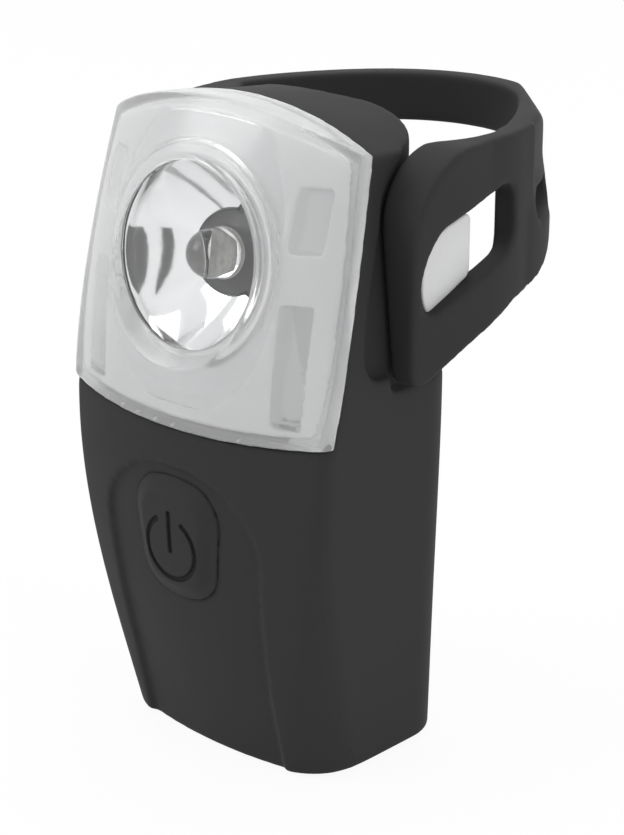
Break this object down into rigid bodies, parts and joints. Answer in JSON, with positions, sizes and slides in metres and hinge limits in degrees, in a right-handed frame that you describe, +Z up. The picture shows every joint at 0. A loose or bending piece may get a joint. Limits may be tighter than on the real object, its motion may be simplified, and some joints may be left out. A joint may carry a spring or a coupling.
{
  "type": "bicycle light",
  "caption": "Compact silicone-clad bicycle light with a clear curved lens, a push button and an integral strap that wraps a seat post and hooks at the side.",
  "frame": {"origin": "on the seat post's axis, halfway up the strap's band behind the post", "axes": "+Z up along the post, -Y out of the lens, +X to the side with the hook and tab"},
  "size_m": [0.0446, 0.0531, 0.0745],
  "materials": {
    "silicone": "matte",
    "clear_plastic": "clear",
    "frosted_plastic": "frosted",
    "seal_rubber": "matte",
    "bright_coating": "mirror bright",
    "lamp_base": "matte",
    "circuit": "satin",
    "capsule_plastic": "satin",
    "steel": "plated",
    "chip": "matte",
    "cell_wrap": "satin"
  },
  "bodies": {
    "lamp": {"silicone_sleeve": "silicone", "strap_hook": "frosted_plastic", "lens_cover": "clear_plastic", "lens_tray": "frosted_plastic", "lens_gasket": "seal_rubber", "cap_seal": "seal_rubber", "reflector": "bright_coating", "led_base": "lamp_base", "led_dome": "clear_plastic", "led_board": "circuit", "inner_housing": "capsule_plastic", "end_cap": "capsule_plastic", "cell_holder": "capsule_plastic", "cap_screw_1": "steel", "cap_screw_2": "steel", "circuit_board": "circuit", "driver_chip": "chip", "switch_base": "chip", "cell_1": "cell_wrap", "cell_2": "cell_wrap", "contact_lower": "steel", "contact_upper_1": "steel", "contact_upper_2": "steel"},
    "strap": {"strap_loop": "silicone"},
    "tab": {"strap_tab": "silicone"},
    "button": {"button_pad": "silicone", "switch_plunger": "chip"}
  },
  "joints": [
    {"name": "power_button", "type": "slide", "parent": "lamp", "child": "button", "axis": [0, 1, 0], "range_m": [0, 0.0006], "stiffness_N_per_m": 1500},
    {"name": "strap_opening", "type": "hinge", "parent": "lamp", "child": "strap", "pos_m": [-0.0194, -0.0062, -0.0039], "axis": [0, 0, 1], "range_deg": [0, 10.5], "stiffness_Nm_per_rad": 0.05},
    {"name": "tab_opening", "type": "hinge", "parent": "strap", "child": "tab", "pos_m": [0.02, -0.0036, -0.0069], "axis": [0, 0, 1], "range_deg": [0, 63], "stiffness_Nm_per_rad": 0.002}
  ],
  "couplings": [
    {"joint": "tab_opening", "follows": "strap_opening", "ratio": 6}
  ]
}
